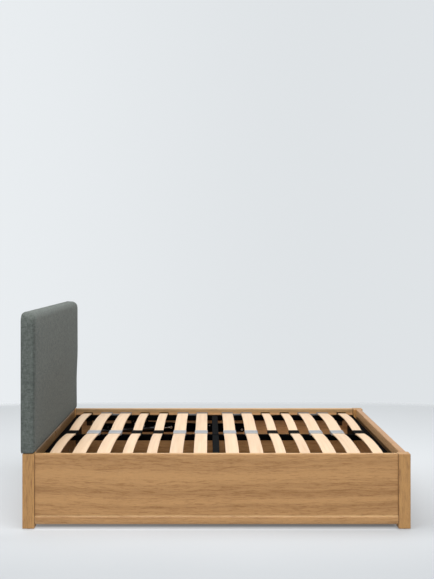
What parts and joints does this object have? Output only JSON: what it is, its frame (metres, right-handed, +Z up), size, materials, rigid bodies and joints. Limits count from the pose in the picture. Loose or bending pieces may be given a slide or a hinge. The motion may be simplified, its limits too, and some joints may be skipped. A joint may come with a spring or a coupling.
{
  "type": "ottoman bed",
  "caption": "Oak ottoman bed with an upholstered headboard; its sprung-slat platform lifts at the foot end on a linkage with gas struts, over a storage base.",
  "frame": {"origin": "on the floor, under the middle of the bed's overall box", "axes": "+X towards the foot end, +Y to the left of a person lying in the bed, +Z up"},
  "size_m": [2.127, 1.59, 1.18],
  "materials": {
    "tweed": "woven upholstery tweed",
    "hardboard": "pressed board",
    "black_cloth": "thin dust cloth",
    "pine": "planed, bare",
    "oak_post": "satin lacquer",
    "oak": "satin lacquer",
    "black_steel": "powder coat",
    "zinc": "zinc plate",
    "beech": "smooth veneer",
    "black_plastic": "moulded",
    "grey_plastic": "moulded",
    "rubber": "moulded"
  },
  "bodies": {
    "bed_frame": {"headboard_pad": "tweed", "headboard_board": "hardboard", "headboard_back_cover": "black_cloth", "headboard_legs": "pine", "headboard_bolts": "zinc", "head_post_left": "oak_post", "head_post_right": "oak_post", "foot_post_left": "oak_post", "foot_post_right": "oak_post", "head_panel": "oak", "side_panel_left": "oak", "side_panel_right": "oak", "side_plinth_left": "oak", "side_plinth_right": "oak", "foot_panel": "oak", "foot_plinth": "oak", "side_ledges": "pine", "end_ledges": "pine", "floor_boards": "hardboard", "floor_beam": "pine", "beam_feet": "black_plastic", "post_glides": "black_plastic", "corner_brackets": "black_steel", "corner_bolts": "zinc", "rest_brackets": "black_steel", "rest_buffers": "rubber", "base_rail_left": "black_steel", "base_rail_right": "black_steel", "base_rail_bolts": "zinc", "base_pivot_pins": "zinc", "strut_base_studs": "zinc"},
    "rear_arms": {"rear_arm_left": "black_steel", "rear_arm_right": "black_steel"},
    "front_arms": {"front_arm_left": "black_steel", "front_arm_right": "black_steel"},
    "strut_cylinders": {"strut_cylinder_left": "black_steel", "strut_cylinder_right": "black_steel"},
    "strut_rods": {"strut_rod_left": "zinc", "strut_rod_right": "zinc"},
    "platform": {"side_tube_left": "black_steel", "side_tube_right": "black_steel", "head_tube": "black_steel", "foot_tube": "black_steel", "centre_tube": "black_steel", "cross_bars": "black_steel", "tube_plugs": "black_plastic", "lift_bracket_left": "black_steel", "lift_bracket_right": "black_steel", "platform_pivot_pins": "zinc", "lift_bracket_bolts": "zinc", "narrow_slats": "beech", "wide_slats": "beech", "narrow_end_caps": "black_plastic", "wide_end_caps": "grey_plastic", "narrow_centre_caps": "black_plastic", "wide_centre_caps": "grey_plastic"}
  },
  "joints": [
    {"name": "rear_arm_hinge", "type": "hinge", "parent": "bed_frame", "child": "rear_arms", "pos_m": [-0.0305, 0, 0.288], "axis": [0, 1, 0], "range_deg": [0, 32.98]},
    {"name": "platform_hinge", "type": "hinge", "parent": "rear_arms", "child": "platform", "pos_m": [-0.5605, 0, 0.305], "axis": [0, -1, 0], "range_deg": [0, 65.98]},
    {"name": "front_arm_hinge", "type": "hinge", "parent": "bed_frame", "child": "front_arms", "pos_m": [0.2015, 0, 0.262], "axis": [0, 1, 0], "range_deg": [0, 27.49]},
    {"name": "strut_hinge", "type": "hinge", "parent": "bed_frame", "child": "strut_cylinders", "pos_m": [-0.8245, 0, 0.258], "axis": [0, -1, 0], "range_deg": [0, 20.84]},
    {"name": "strut_slide", "type": "slide", "parent": "strut_cylinders", "child": "strut_rods", "axis": [0.9989, 0, 0.0478], "range_m": [0, 0.1197]}
  ],
  "couplings": [
    {"joint": "platform_hinge", "follows": "rear_arm_hinge", "ratio": 2.0003},
    {"joint": "front_arm_hinge", "follows": "rear_arm_hinge", "ratio": 0.83332},
    {"joint": "strut_hinge", "follows": "rear_arm_hinge", "ratio": 0.63165},
    {"joint": "strut_slide", "follows": "rear_arm_hinge", "m_per_rad": 0.2078}
  ]
}
